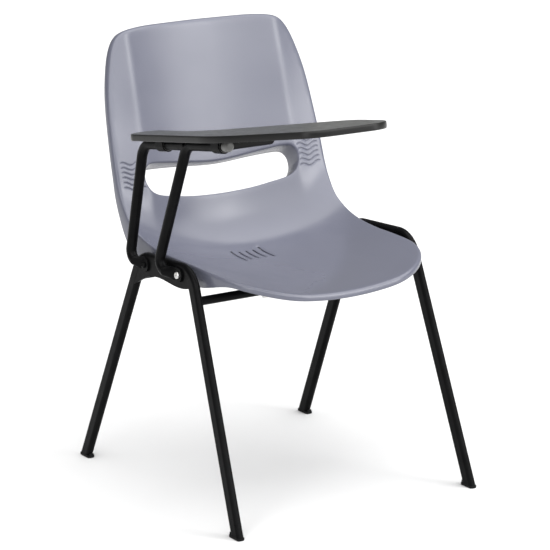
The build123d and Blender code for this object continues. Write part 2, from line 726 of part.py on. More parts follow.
with BuildPart() as tablet_board:
    extrude(tablet_outline(BAND), amount=TABLET)
    with BuildSketch(DESK.offset(TABLET_GAP)):
        with Locations(*all_holes):
            Circle(WOOD_SCREW_RADIUS + 0.05)
    extrude(amount=WOOD_SCREW_LENGTH - STRAP + 0.5, mode=Mode.SUBTRACT)
finish(tablet_board, "tablet_board")

with BuildPart() as tablet_edge_band:
    extrude(tablet_outline(0), amount=TABLET)
    extrude(tablet_outline(BAND), amount=TABLET, mode=Mode.SUBTRACT)
finish(tablet_edge_band, "tablet_edge_band")
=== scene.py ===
import math

import bmesh
import bpy
import numpy as np
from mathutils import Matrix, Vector
from mathutils.geometry import delaunay_2d_cdt


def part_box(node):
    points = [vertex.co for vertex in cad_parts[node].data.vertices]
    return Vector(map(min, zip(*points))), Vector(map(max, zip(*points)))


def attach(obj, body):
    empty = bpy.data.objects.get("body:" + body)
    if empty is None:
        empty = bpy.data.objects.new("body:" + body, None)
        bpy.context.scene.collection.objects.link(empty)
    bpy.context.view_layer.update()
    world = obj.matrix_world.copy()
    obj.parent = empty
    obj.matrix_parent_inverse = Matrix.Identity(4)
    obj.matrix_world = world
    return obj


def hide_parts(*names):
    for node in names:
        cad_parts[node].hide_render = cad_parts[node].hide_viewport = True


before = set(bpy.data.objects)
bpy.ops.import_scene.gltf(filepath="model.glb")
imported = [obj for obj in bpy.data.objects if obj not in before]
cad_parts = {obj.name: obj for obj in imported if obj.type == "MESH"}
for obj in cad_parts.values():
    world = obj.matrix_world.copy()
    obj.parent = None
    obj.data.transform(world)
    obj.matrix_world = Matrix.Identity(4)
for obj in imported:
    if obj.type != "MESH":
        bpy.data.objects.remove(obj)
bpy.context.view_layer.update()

MM = 0.001

# Shapes are drawn in millimetres from the seat's mid-plane, the front of its edge and the
# floor, and then moved to where the frame has them.
FRONT_EDGE = -241
right_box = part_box("side_frame_right")
left_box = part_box("side_frame_left")
shell_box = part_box("seat_shell")
SHIFT = np.array([
    (right_box[1].x + left_box[0].x) / 2 / MM,
    shell_box[0].y / MM - FRONT_EDGE,
    0.0,
])


def placed(points):
    """Millimetres from the seat's mid-plane to metres in the frame."""
    return (np.asarray(points, dtype=float) + SHIFT) * MM


# ---- Small helpers -------------------------------------------------------------------
def natural_spline(knots, values):
    """Natural cubic spline through values at knots; takes an array of parameters."""
    knots = np.asarray(knots, dtype=float)
    values = np.asarray(values, dtype=float)
    step = np.diff(knots)
    rise = np.diff(values, axis=0) / step[:, None]
    matrix = np.eye(len(knots))
    right = np.zeros_like(values)
    for i in range(1, len(knots) - 1):
        matrix[i, i - 1:i + 2] = step[i - 1], 2 * (step[i - 1] + step[i]), step[i]
        right[i] = 6 * (rise[i] - rise[i - 1])
    bend = np.linalg.solve(matrix, right)

    def at(t):
        t = np.asarray(t, dtype=float)
        i = np.clip(np.searchsorted(knots, t) - 1, 0, len(step) - 1)
        h = step[i]
        a = ((knots[i + 1] - t) / h)[..., None]
        b = 1 - a
        h = h[..., None]
        curve = (a**3 - a) * bend[i] + (b**3 - b) * bend[i + 1]
        return a * values[i] + b * values[i + 1] + curve * h**2 / 6

    return at


def chord(points):
    """Running length along a list of points."""
    steps = np.linalg.norm(np.diff(points, axis=0), axis=1)
    return np.concatenate([[0], np.cumsum(steps)])


def smooth_step(value, start, stop):
    u = np.clip((value - start) / (stop - start), 0, 1)
    return u * u * (3 - 2 * u)


def unit(v):
    return v / np.linalg.norm(v, axis=-1, keepdims=True)


def even_loop(points, spacing):
    """Closed loop of evenly spaced points on a smooth curve through the given ones."""
    points = np.asarray(points, dtype=float)
    wrap = 4
    ring = np.concatenate([points[-wrap:], points, points[:wrap + 1]])
    length = chord(ring)
    curve = natural_spline(length, ring)
    start, stop = length[wrap], length[wrap + len(points)]
    count = int(round((stop - start) / spacing))
    return curve(np.linspace(start, stop, count, endpoint=False))


def inside(points, loop):
    """Which points lie inside a closed polygon."""
    x, y = points[:, 0], points[:, 1]
    hit = np.zeros(len(points), dtype=bool)
    for (x0, y0), (x1, y1) in zip(loop, np.roll(loop, -1, axis=0)):
        crosses = (y0 > y) != (y1 > y)
        if y1 != y0:
            hit ^= crosses & (x < (x1 - x0) * (y - y0) / (y1 - y0) + x0)
    return hit


def make_piece(name, vertices, faces, material, body):
    """Mesh object in the frame's metres, riding on a body."""
    mesh = bpy.data.meshes.new(name)
    mesh.from_pydata([tuple(v) for v in vertices], [], faces)
    mesh.validate()
    mesh.update()
    piece = bpy.data.objects.new(name, mesh)
    bpy.context.scene.collection.objects.link(piece)
    mesh.materials.append(material)
    mesh.shade_smooth()
    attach(piece, body)
    return piece


def face_outwards(piece, merge=0):
    """Turn a piece's faces outwards, first joining points closer than merge, in metres."""
    fix = bmesh.new()
    fix.from_mesh(piece.data)
    if merge:
        bmesh.ops.remove_doubles(fix, verts=fix.verts, dist=merge)
    bmesh.ops.recalc_face_normals(fix, faces=fix.faces)
    fix.to_mesh(piece.data)
    fix.free()


def bridge(rows, closed=True):
    """Quads between successive rows of vertex numbers."""
    faces = []
    for low, high in zip(rows, rows[1:]):
        count = len(low)
        for i in range(count if closed else count - 1):
            j = (i + 1) % count
            faces.append((low[i], low[j], high[j], high[i]))
    return faces


# ---- Materials -----------------------------------------------------------------------
def new_material(name, roughness, **sockets):
    """Principled material with the given plain socket values; returns what nodes need."""
    material = bpy.data.materials.new(name)
    material.use_nodes = True
    tree = material.node_tree
    shader = tree.nodes["Principled BSDF"]
    shader.inputs["Roughness"].default_value = roughness
    for socket, value in sockets.items():
        shader.inputs[socket.replace("_", " ")].default_value = value
    where = tree.nodes.new("ShaderNodeTexCoord").outputs["Object"]
    return material, tree, shader, where


def noise(tree, where, scale, detail=2.0, roughness=0.5, distortion=0.0):
    node = tree.nodes.new("ShaderNodeTexNoise")
    node.inputs["Scale"].default_value = scale
    node.inputs["Detail"].default_value = detail
    node.inputs["Roughness"].default_value = roughness
    node.inputs["Distortion"].default_value = distortion
    tree.links.new(where, node.inputs["Vector"])
    return node.outputs["Fac"]


def remap(tree, value, low, high, to_low=0.0, to_high=1.0):
    node = tree.nodes.new("ShaderNodeMapRange")
    node.inputs["From Min"].default_value = low
    node.inputs["From Max"].default_value = high
    node.inputs["To Min"].default_value = to_low
    node.inputs["To Max"].default_value = to_high
    tree.links.new(value, node.inputs["Value"])
    return node.outputs["Result"]


def mix_colour(tree, factor, first, second):
    """Mix of two colours, each a tuple or an output socket."""
    node = tree.nodes.new("ShaderNodeMix")
    node.data_type = "RGBA"
    tree.links.new(factor, node.inputs["Factor"])
    for socket, colour in ((node.inputs[6], first), (node.inputs[7], second)):
        if isinstance(colour, tuple):
            socket.default_value = (*colour, 1)
        else:
            tree.links.new(colour, socket)
    return node.outputs[2]


def bump(tree, shader, layers):
    """Bump from (height, distance in metres) layers, one on top of the other."""
    normal = None
    for height, distance in layers:
        node = tree.nodes.new("ShaderNodeBump")
        node.inputs["Strength"].default_value = 1.0
        node.inputs["Distance"].default_value = distance
        tree.links.new(height, node.inputs["Height"])
        if normal:
            tree.links.new(normal, node.inputs["Normal"])
        normal = node.outputs["Normal"]
    tree.links.new(normal, shader.inputs["Normal"])


def stretched(tree, where, scale):
    """Coordinates stretched along the axes, for brushed or combed detail."""
    node = tree.nodes.new("ShaderNodeMapping")
    node.inputs["Scale"].default_value = scale
    tree.links.new(where, node.inputs["Vector"])
    return node.outputs["Vector"]


def moulded_plastic(name, colour, roughness, grain=0.00002, spread=0.06, specular=0.5):
    """Moulded plastic: fine grain of the given depth in metres, faint flow marks whose colour
    strays by spread, and patches rubbed duller or shinier."""
    material, tree, shader, where = new_material(name, roughness, Specular_IOR_Level=specular)
    flow = noise(tree, where, 9, detail=3, roughness=0.55, distortion=0.6)
    dark = tuple(c * (1 - spread) for c in colour)
    light = tuple(min(c * (1 + spread), 1) for c in colour)
    body = mix_colour(tree, remap(tree, flow, 0.3, 0.7), dark, light)
    speck = remap(tree, noise(tree, where, 900, detail=1), 0.68, 0.8, 0, 0.12)
    tree.links.new(mix_colour(tree, speck, body, dark), shader.inputs["Base Color"])
    rub = noise(tree, stretched(tree, where, (1, 0.4, 1)), 26, detail=2, roughness=0.5)
    worn = remap(tree, rub, 0.3, 0.7, roughness - 0.02, roughness + 0.03)
    tree.links.new(worn, shader.inputs["Roughness"])
    fine = noise(tree, where, 2600, detail=2, roughness=0.6)
    coarse = noise(tree, where, 700, detail=2)
    bump(tree, shader, [(coarse, grain * 1.5), (fine, grain)])
    return material


def powder_coat(name, colour, roughness):
    """Black powder coat on steel: orange-peel skin, dusty mottling, a few dull rubs."""
    material, tree, shader, where = new_material(name, roughness, Specular_IOR_Level=0.05)
    mottle = remap(tree, noise(tree, where, 30, detail=4, roughness=0.6), 0.35, 0.7)
    light = tuple(c * 1.6 + 0.001 for c in colour)
    coat = mix_colour(tree, mottle, colour, light)
    rubbed = remap(tree, noise(tree, where, 75, detail=6, roughness=0.75), 0.66, 0.78, 0, 0.5)
    worn = mix_colour(tree, rubbed, coat, (0.011, 0.011, 0.012))
    tree.links.new(worn, shader.inputs["Base Color"])
    cloud = noise(tree, where, 55, detail=3)
    sheen = remap(tree, cloud, 0.3, 0.7, roughness - 0.07, roughness + 0.1)
    tree.links.new(sheen, shader.inputs["Roughness"])
    peel = noise(tree, where, 420, detail=1, roughness=0.4)
    grit = noise(tree, where, 1900, detail=2)
    bump(tree, shader, [(peel, 0.00006), (grit, 0.000012)])
    return material


def zinc_plate(name):
    """Bright zinc: brushed grain, faint yellow passivation, slight staining."""
    material, tree, shader, where = new_material(name, 0.3, Metallic=1.0)
    tint = remap(tree, noise(tree, where, 220, detail=4), 0.35, 0.65)
    metal = mix_colour(tree, tint, (0.56, 0.56, 0.57), (0.68, 0.67, 0.63))
    tree.links.new(metal, shader.inputs["Base Color"])
    grain = noise(tree, stretched(tree, where, (1, 14, 14)), 500, detail=3, roughness=0.7)
    tree.links.new(remap(tree, grain, 0.3, 0.7, 0.22, 0.42), shader.inputs["Roughness"])
    bump(tree, shader, [(grain, 0.00001)])
    return material


def laminate(name):
    """Graphite laminate: fine crystal fleck, a soft cloudiness and a pebbled face."""
    material, tree, shader, where = new_material(name, 0.34, Specular_IOR_Level=0.38)
    cloud = remap(tree, noise(tree, where, 16, detail=5, roughness=0.6), 0.3, 0.7)
    base = mix_colour(tree, cloud, (0.033, 0.0345, 0.0325), (0.043, 0.0445, 0.042))
    cells = tree.nodes.new("ShaderNodeTexVoronoi")
    cells.inputs["Scale"].default_value = 650
    tree.links.new(where, cells.inputs["Vector"])
    fleck = remap(tree, cells.outputs["Distance"], 0.1, 0.3, 0.75, 0)
    base = mix_colour(tree, fleck, base, (0.062, 0.062, 0.060))
    tree.links.new(base, shader.inputs["Base Color"])
    wear = noise(tree, stretched(tree, where, (1, 0.3, 1)), 110, detail=5, roughness=0.7)
    tree.links.new(remap(tree, wear, 0.3, 0.75, 0.28, 0.44), shader.inputs["Roughness"])
    pebble = noise(tree, where, 1100, detail=2)
    bump(tree, shader, [(pebble, 0.00003)])
    return material


SHELL = moulded_plastic("shell_plastic", (0.098, 0.1015, 0.132), 0.24, grain=0.000002,
                        spread=0.02)
BLACK = powder_coat("black_powder_coat", (0.0022, 0.0022, 0.0024), 0.33)
GLIDE = moulded_plastic("glide_plastic", (0.004, 0.004, 0.0045), 0.5, specular=0.12)
DARK = moulded_plastic("sleeve_plastic", (0.006, 0.006, 0.006), 0.46, specular=0.12)
GREY = moulded_plastic("plug_plastic", (0.12, 0.12, 0.116), 0.42)
NYLON = moulded_plastic("nylon", (0.05, 0.05, 0.048), 0.4)
EDGE = moulded_plastic("edge_moulding", (0.007, 0.007, 0.0068), 0.34, specular=0.24)
BACKER = moulded_plastic("tablet_backer", (0.006, 0.006, 0.006), 0.5, specular=0.14)
ZINC = zinc_plate("zinc_plate")
TOP = laminate("graphite_laminate")

NODE_MATERIALS = {
    BLACK: [
        "side_frame_right", "side_frame_left", "front_crossbar", "rear_crossbar",
        "arm_side_plate", "arm_backing_plate", "arm_tube_front", "arm_tube_rear",
        "arm_bolt_rear", "support_arm", "hinge_clamp_rear", "hinge_clamp_front",
    ],
    GLIDE: ["foot_front_right", "foot_front_left", "foot_rear_right", "foot_rear_left"],
    DARK: ["support_sleeve"],
    GREY: ["rail_end_plug"],
    NYLON: ["hinge_liner_rear", "hinge_liner_front"],
    ZINC: ["seat_screws", "seat_washers", "arm_bolt_front", "arm_nuts", "clamp_screws"],
}
for material, names in NODE_MATERIALS.items():
    for name in names:
        for material_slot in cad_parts[name].material_slots:
            material_slot.material = material

# ---- Shell surface -------------------------------------------------------------------
# Stations from the front of the seat to the top of the back: (y, z) on the centre line, on
# the crease and at the rim.
STATIONS = np.array([
    ((-262, 402), (-262, 423), (-262, 440)),
    ((-180, 405), (-180, 425), (-180, 440.5)),
    ((-60, 400.5), (-62, 425), (-65, 444.5)),
    ((50, 398.5), (47, 423), (42, 447)),
    ((105, 403.5), (98, 431), (90, 455)),
    ((145, 425), (132, 449), (122, 467.5)),
    ((167, 458), (151, 477), (142, 483.5)),
    ((181, 498), (163, 510), (163.5, 516)),
    ((198.5, 558), (179, 562), (181, 562)),
    ((222, 642), (206, 643), (207, 643)),
    ((243, 717), (226.5, 717), (230, 717)),
    ((264, 791), (249, 791), (254, 789)),
    ((276, 833), (261, 833), (267, 831)),
], dtype=float)
CREASE_X = 162
RIM_X = 220
SOFTNESS = 4
WALL = 4.2
ARC = chord(STATIONS[:, 0])
profile = natural_spline(ARC, STATIONS.reshape(len(STATIONS), 6))


def softplus(v):
    return SOFTNESS * np.logaddexp(0, v / SOFTNESS)


def sheet(t, x):
    """Upper surface at arc length t and cross position x."""
    t = np.asarray(t, dtype=float)
    x = np.asarray(x, dtype=float)
    rows = profile(t)
    centre, crease, rim = rows[..., 0:2], rows[..., 2:4], rows[..., 4:6]
    dish = crease - centre
    facet = rim - centre - dish * (RIM_X / CREASE_X) ** 2
    turn = (softplus(abs(x) - CREASE_X) / softplus(RIM_X - CREASE_X))[..., None]
    yz = centre + dish * (x[..., None] / CREASE_X) ** 2 + facet * turn
    return np.concatenate([x[..., None], yz], axis=-1)


def slopes(t, x, step=0.5):
    along = (sheet(t + step, x) - sheet(t - step, x)) / (2 * step)
    across = (sheet(t, x + step) - sheet(t, x - step)) / (2 * step)
    return along, across


def normal_at(t, x):
    """Unit normal on the sitter's side."""
    along, across = slopes(t, x)
    return unit(np.cross(across, along))


ALONG_Y = (0, 1, 0)
ALONG_Z = (0, 0, 1)


def find_t(x, value, way, low, high):
    """Arc length at which the surface reaches a given distance along a direction."""
    x = np.asarray(x, dtype=float)
    low = np.full(x.shape, float(low))
    high = np.full(x.shape, float(high))
    for _ in range(40):
        middle = (low + high) / 2
        below = sheet(middle, x) @ np.array(way, dtype=float) < value
        low = np.where(below, middle, low)
        high = np.where(below, high, middle)
    return (low + high) / 2


SEAT_END = ARC[4]
BACK_START = ARC[5]


def on_seat(points):
    """(x, y) in plan to (t, x)."""
    points = np.asarray(points, dtype=float)
    return np.stack([find_t(points[:, 0], points[:, 1], ALONG_Y, 0, SEAT_END), points[:, 0]], 1)


def on_back(points):
    """(x, z) in front view to (t, x)."""
    points = np.asarray(points, dtype=float)
    t = find_t(points[:, 0], points[:, 1], ALONG_Z, BACK_START, ARC[-1])
    return np.stack([t, points[:, 0]], 1)


def mirrored_loop(half):
    """Closed loop from its right half, which starts and ends on the mid-plane."""
    other = half[-2:0:-1] * (1, -1)
    return np.concatenate([half, other])


# ---- Shell outline, slot and vents ------------------------------------------------------
SEAT_HALF = 217
FRONT_RADIUS = 128
OUTLINE_SPACING = 4.5
SLOT_SPACING = 4.0
corner = np.radians(np.linspace(-90, 0, 13))
front_centre = (SEAT_HALF - FRONT_RADIUS, FRONT_EDGE + FRONT_RADIUS)
front_arc = np.stack([
    front_centre[0] + FRONT_RADIUS * np.cos(corner),
    front_centre[1] + FRONT_RADIUS * np.sin(corner),
], 1)
front_line = np.stack([np.linspace(0, front_centre[0], 6)[:-1], np.full(5, FRONT_EDGE)], 1)
side_line = [(SEAT_HALF, y) for y in (-85, -55, -25)] + [(218.5, 10), (220, 40), (222, 72)]
BACK_SIDE = [(226.2, 480), (228, 532), (223, 637), (215, 707), (207, 741), (197, 771),
             (176, 800.5), (140, 810.2), (70, 811.8), (0, 812)]
back_length = chord(np.array(BACK_SIDE, dtype=float))
back_line = natural_spline(back_length, BACK_SIDE)(np.linspace(0, back_length[-1], 46))
seat_line = np.concatenate([front_line, front_arc, side_line])
half_outline = np.concatenate([on_seat(seat_line), on_back(back_line)])
outline = even_loop(mirrored_loop(half_outline), OUTLINE_SPACING)

# Right half of the slot on the plane y = SLOT_Y, which its slanting sides cross.
SLOT_Y = 190
SLOT_SLANT = np.array([0, 28, -18]) / math.hypot(28, 18)
SLOT_HALF = [(0, 560), (40, 562), (80, 565.4), (120, 567.7), (143, 567.8), (155.5, 564.5),
             (162.5, 557), (166, 549), (167, 540), (166.6, 530), (163.5, 520.5), (156.5, 509.5),
             (146, 503), (115, 497.6), (80, 494), (40, 491.9), (0, 491.3)]
SLOT_REACH = 17.7  # rear edge of its flange behind the surface on the centre line


def on_slot(points):
    """(x, z) on the slot's plane, followed down its sides to the surface, as (t, x)."""
    points = np.asarray(points, dtype=float)
    fall = -SLOT_SLANT[2] / SLOT_SLANT[1]
    value = points[:, 1] + fall * SLOT_Y
    t = find_t(points[:, 0], value, (0, fall, 1), BACK_START, ARC[-1])
    return np.stack([t, points[:, 0]], 1)


slot_loop = even_loop(mirrored_loop(on_slot(SLOT_HALF)), SLOT_SPACING)[::-1]

# Lower edge of the skirt beside the frames and round the waist, in side view (y, z).
SKIRT = np.array([
    (-185, 424), (-160, 422), (-137, 417), (-113, 411), (-90, 407), (-60, 405), (-20, 404.5),
    (30, 406), (75, 410), (115, 418), (148, 433), (166, 465), (177, 492), (184.5, 514),
    (189.5, 536), (194, 557),
], dtype=float)

VENTS = [(-30, 50, 113), (-15, 57, 98), (0, 57, 98), (15, 57, 98), (30, 50, 113)]
VENT_HALF = 2.0


def vent_loop(x, start, stop):
    """Long narrow slot with round ends, running front to back."""
    angles = np.radians(np.linspace(0, 180, 7))
    front = [(x - VENT_HALF * math.cos(a), start - VENT_HALF * math.sin(a)) for a in angles]
    rear = [(x + VENT_HALF * math.cos(a), stop + VENT_HALF * math.sin(a)) for a in angles]
    right = [(x + VENT_HALF, y) for y in np.linspace(start, stop, 9)[1:-1]]
    left = [(x - VENT_HALF, y) for y in np.linspace(stop, start, 9)[1:-1]]
    return on_seat(front + right + rear + left)


# ---- Grip waves on the two stiles -------------------------------------------------------
WAVE_Z = [575, 566, 557.5, 548.5, 539, 530]
WAVE_IN, WAVE_OUT = 170, 214
STILE_X = 190.0
WAVE_HEIGHT = 3.8
WAVE_LENGTH = 36
WAVE_DEPTH = 1.7
WAVE_HALF_WIDTH = 1.7


def stile_t(z):
    """Arc length at a height on the stiles."""
    return find_t(np.array([STILE_X]), z, ALONG_Z, BACK_START, ARC[-1])[0]


def wave_depth(t, x):
    """How far the wavy grooves sink below the surface."""
    a = abs(x)
    sunk = np.zeros_like(t)
    ends = smooth_step(a, WAVE_IN - 2, WAVE_IN + 3)
    ends = ends * (1 - smooth_step(a, WAVE_OUT - 3, WAVE_OUT + 2))
    swing = WAVE_HEIGHT * np.cos(2 * math.pi * (a - WAVE_IN - 5) / WAVE_LENGTH)
    for z in WAVE_Z:
        row = stile_t(z)
        away = (t - row - swing) / WAVE_HALF_WIDTH
        sunk = sunk + WAVE_DEPTH * np.exp(-away**2) * ends
    return sunk


# ---- Shell mesh ------------------------------------------------------------------------
FRONT_ROLL, SIDE_ROLL, BACK_ROLL = 7, 5, 7  # radius of the rolled edge
SEAT_FLANGE, BACK_FLANGE = 12, 15  # least depth of the turned edge
FLANGE_WALL = 3.3
SLOT_ROLL = 4.0
VENT_EDGE = 0.6
ROLL_ANGLES = (15, 32, 50, 70, 90)
ROW_STEP = 7.0
PATCH_MARGIN = 8  # finer mesh above and below the waves
PATCH_IN = WAVE_IN - 5
GRID_ROOM, PATCH_ROOM = 3.6, 1.4  # clear space between inner points and the edges


def rim_frame(loop, radius, hole, slant):
    """Rolls a loop back by the rim's radius. Returns the start of the roll on the surface
    and the outward and flange directions there."""
    t, x = loop[:, 0], loop[:, 1]
    points = sheet(t, x)
    around = unit(np.roll(points, -1, axis=0) - np.roll(points, 1, axis=0))
    normal = normal_at(t, x)
    out = unit(np.cross(around, normal))
    if hole:
        out = -out
    along, across = slopes(t, x)
    grid = np.stack([along, across], axis=-1)
    back = loop + np.array([np.linalg.lstsq(g, -r * o, rcond=None)[0]
                            for g, o, r in zip(grid, out, radius)])
    if slant is not None:
        return back, out, np.tile(slant, (len(back), 1))
    down = -normal_at(back[:, 0], np.zeros(len(back)))
    down = unit(down - around * np.sum(down * around, axis=1, keepdims=True))
    return back, out, down


def flange_profile(radius, depth):
    """(outward, down) offsets from the start of the roll, round the flange and back."""
    rows = []
    for angle in ROLL_ANGLES:
        a = math.radians(angle)
        rows.append((radius * math.sin(a), radius * (1 - math.cos(a))))
    inner = radius - FLANGE_WALL
    rows += [
        (radius, depth - 1.2), (radius - 0.35, depth - 0.35), (radius - 1.2, depth),
        (inner + 0.9, depth), (inner + 0.25, depth - 0.3), (inner, depth - 1.1),
        (inner, np.full_like(radius, WALL + 2.4)),
        (inner - 0.5, np.full_like(radius, WALL + 0.9)),
    ]
    return rows


def plain_profile(radius, depth):
    """Straight-sided hole through the wall, its edges just broken."""
    return [(radius * 0.7, radius * 0.3), (radius, radius), (radius, depth - radius),
            (radius * 0.7, depth - radius * 0.3)]


def skirt_depth(loop, least):
    """Depth of the turned edge: down to the skirt's lower edge where there is a skirt."""
    points = sheet(loop[:, 0], loop[:, 1])
    down = -normal_at(loop[:, 0], np.zeros(len(loop)))
    length = chord(SKIRT)
    edge = natural_spline(length, SKIRT)(np.linspace(0, length[-1], 400))
    depth = least.copy()
    for i, (point, way) in enumerate(zip(points, down)):
        reach = edge - point[1:]
        along = reach @ way[1:]
        aside = abs(reach[:, 0] * way[2] - reach[:, 1] * way[1])
        near = np.argmin(aside + 1e3 * (along < 0))
        if aside[near] < 2:
            depth[i] = max(least[i], along[near])
    for _ in range(6):
        depth = (np.roll(depth, 1) + 2 * depth + np.roll(depth, -1)) / 4
    return depth


def shell_loops():
    """Every edge of the shell, as (loop, roll radius, flange depth, profile, is a hole, and
    the flange's direction where it isn't straight back)."""
    points = sheet(outline[:, 0], outline[:, 1])
    y, z = points[:, 1], points[:, 2]
    radius = (FRONT_ROLL + (SIDE_ROLL - FRONT_ROLL) * smooth_step(y, -200, -60)
              + (BACK_ROLL - SIDE_ROLL) * smooth_step(z, 455, 520))
    least = SEAT_FLANGE + (BACK_FLANGE - SEAT_FLANGE) * smooth_step(z, 452, 480)
    depth = skirt_depth(outline, least)
    loops = [(outline, radius, depth, flange_profile, False, None)]
    # The slot's flange ends level across, so it is deeper where the back comes forward.
    behind = sheet(slot_loop[:, 0], 0 * slot_loop[:, 0])[:, 1] - sheet(*slot_loop.T)[:, 1]
    depth = (SLOT_REACH + behind) / SLOT_SLANT[1]
    radius = np.full(len(slot_loop), SLOT_ROLL)
    loops.append((slot_loop, radius, depth, flange_profile, True, SLOT_SLANT))
    for vent in VENTS:
        loop = vent_loop(*vent)
        size = len(loop)
        edge, through = np.full(size, VENT_EDGE), np.full(size, WALL)
        loops.append((loop, edge, through, plain_profile, True, None))
    return loops


def grid_points(edges):
    """Inner points of the sheet, closer together at the creases and on the grip waves."""
    middle, facet = np.arange(0, 146, 8.0), np.arange(181, 230, 6.0)
    crease = np.arange(150, 178, 2.6)
    xs = np.concatenate([middle, crease, facet])
    xs = np.concatenate([-xs[:0:-1], xs])
    ts = np.arange(0, ARC[-1], ROW_STEP)
    grid = np.stack(np.meshgrid(ts, xs, indexing="ij"), -1).reshape(-1, 2)
    top = stile_t(WAVE_Z[0] + PATCH_MARGIN)
    bottom = stile_t(WAVE_Z[-1] - PATCH_MARGIN)
    in_patch = (grid[:, 0] > bottom) & (grid[:, 0] < top) & (abs(grid[:, 1]) > PATCH_IN)
    fine = np.stack(np.meshgrid(np.arange(bottom, top, 0.8), np.arange(PATCH_IN, 226, 2.2),
                                indexing="ij"), -1).reshape(-1, 2)
    points = np.concatenate([grid[~in_patch], fine, fine * (1, -1)])
    room = np.full(len(points), GRID_ROOM)
    room[len(grid[~in_patch]):] = PATCH_ROOM
    keep = inside(points, edges[0])
    for edge in edges[1:]:
        keep &= ~inside(points, edge)
    every_edge = np.concatenate(edges)
    for i in np.nonzero(keep)[0]:
        near = np.min(np.sum((every_edge - points[i]) ** 2, axis=1))
        keep[i] = near > room[i] ** 2
    return points[keep]


def build_shell():
    loops = shell_loops()
    rims = [rim_frame(loop, radius, hole, slant) for loop, radius, _, _, hole, slant in loops]
    edges = [rim[0] for rim in rims]
    inner = grid_points(edges)
    flat = np.concatenate([*edges, inner])
    constraints = []
    start = 0
    for edge in edges:
        numbers = range(start, start + len(edge))
        constraints += [(i, start + (i + 1 - start) % len(edge)) for i in numbers]
        start += len(edge)
    made = delaunay_2d_cdt([Vector(p) for p in flat], constraints, [], 0, 1e-6)
    if len(made[0]) != len(flat):
        raise RuntimeError("the shell's triangulation changed its points")
    triangles = np.array(made[2])
    middle = flat[triangles].mean(axis=1)
    keep = inside(middle, edges[0])
    for edge in edges[1:]:
        keep &= ~inside(middle, edge)
    triangles = triangles[keep]
    t, x = flat[:, 0], flat[:, 1]
    points = sheet(t, x)
    normal = normal_at(t, x)
    crossed = np.cross(points[triangles[:, 1]] - points[triangles[:, 0]],
                       points[triangles[:, 2]] - points[triangles[:, 0]])
    flip = np.sum(crossed * normal[triangles[:, 0]], axis=1) < 0
    triangles[flip] = triangles[flip][:, ::-1]
    upper = points - normal * wave_depth(t, x)[:, None]
    lower = points - normal * WALL
    vertices = [upper]
    faces = [tuple(face) for face in triangles]
    total = len(upper)
    start = 0
    rims_at = []
    for (loop, radius, depth, shape, hole, _), (_, out, down) in zip(loops, rims):
        base = points[start:start + len(loop)]
        rows = [list(range(start, start + len(loop)))]
        for outward, deep in shape(radius, depth):
            row = base + out * np.reshape(outward, (-1, 1)) + down * np.reshape(deep, (-1, 1))
            vertices.append(row)
            rows.append(list(range(total, total + len(loop))))
            total += len(loop)
        rims_at.append((rows, start, hole))
        start += len(loop)
    under = total
    vertices.append(lower)
    for rows, first, hole in rims_at:
        rows.append([under + i for i in range(first, first + len(rows[0]))])
        quads = bridge(rows)
        faces += [q[::-1] for q in quads] if hole else quads
    faces += [tuple(int(i) + under for i in face[::-1]) for face in triangles]
    vertices = placed(np.concatenate(vertices))
    faces = [tuple(int(i) for i in face) for face in faces]
    shell = make_piece("seat_shell_moulding", vertices, faces, SHELL, "frame")
    face_outwards(shell)
    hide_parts("seat_shell")
    return shell


build_shell()

# ---- Bosses under the seat ---------------------------------------------------------------
BAR_Z = 389.5
BAR_RADIUS = 8.05
BOSSES = [(x, y) for x in (-95, 95) for y in (-112, 97.8)]
BOSS_RADIUS = 12
RIB_REACH = 26
RIB_HALF = 1.1
RIB_TIP = 0.6  # a rib's depth at its outer end
BAR_CLEAR = 0.4


def saddle_height(y, bar_y):
    """Lower end of a boss: on the bar's upper side, down to half its height."""
    over = np.clip(BAR_RADIUS**2 - (y - bar_y) ** 2, 0, None)
    return BAR_Z + np.sqrt(over)


def seat_height(x, y):
    t = find_t(x, y, ALONG_Y, 0, SEAT_END)
    return sheet(t, x)[..., 2]


def build_bosses():
    vertices = []
    faces = []
    count = 40
    turn = np.linspace(0, 2 * math.pi, count, endpoint=False)
    for boss_x, boss_y in BOSSES:
        rings = []
        for radius, where in ((0.01, "top"), (BOSS_RADIUS, "top"), (BOSS_RADIUS, "low"),
                              (BOSS_RADIUS - 1, "end"), (8.3, "end"), (8.0, "end"), (6, "end"),
                              (3, "end"), (0.01, "end")):
            x = boss_x + radius * np.cos(turn)
            y = boss_y + radius * np.sin(turn)
            if where == "top":
                z = seat_height(x, y) - WALL / 2
            else:
                z = saddle_height(y, boss_y) + (0.8 if where == "low" else 0)
            rings.append(np.stack([x, y, z], 1))
        start = len(vertices)
        vertices += [point for ring in rings for point in ring]
        rows = [range(start + i * count, start + (i + 1) * count) for i in range(len(rings))]
        faces += [quad[::-1] for quad in bridge([list(row) for row in rows])]
        for side in (0, 90, 180, 270):
            way = np.array([math.cos(math.radians(side)), math.sin(math.radians(side))])
            wide = np.array([-way[1], way[0]]) * RIB_HALF
            start = len(vertices)
            for sign in (-1, 1):
                for reach, on_shell in ((BOSS_RADIUS - 1, True), (RIB_REACH, True),
                                        (RIB_REACH, False), (BOSS_RADIUS - 1, False)):
                    x, y = np.array([boss_x, boss_y]) + way * reach + wide * sign
                    top = float(seat_height(np.array([x]), np.array([y]))[0]) - WALL
                    low = top - RIB_TIP if reach > BOSS_RADIUS else BAR_Z + BAR_RADIUS + BAR_CLEAR
                    vertices.append((x, y, top + 1 if on_shell else low))
            near, far = range(start, start + 4), range(start + 4, start + 8)
            faces += [tuple(near), tuple(far)[::-1]]
            faces += [quad[::-1] for quad in bridge([list(near), list(far)])]
    bosses = make_piece("seat_bosses", placed(vertices), faces, SHELL, "frame")
    face_outwards(bosses, merge=0.02 * MM)


build_bosses()

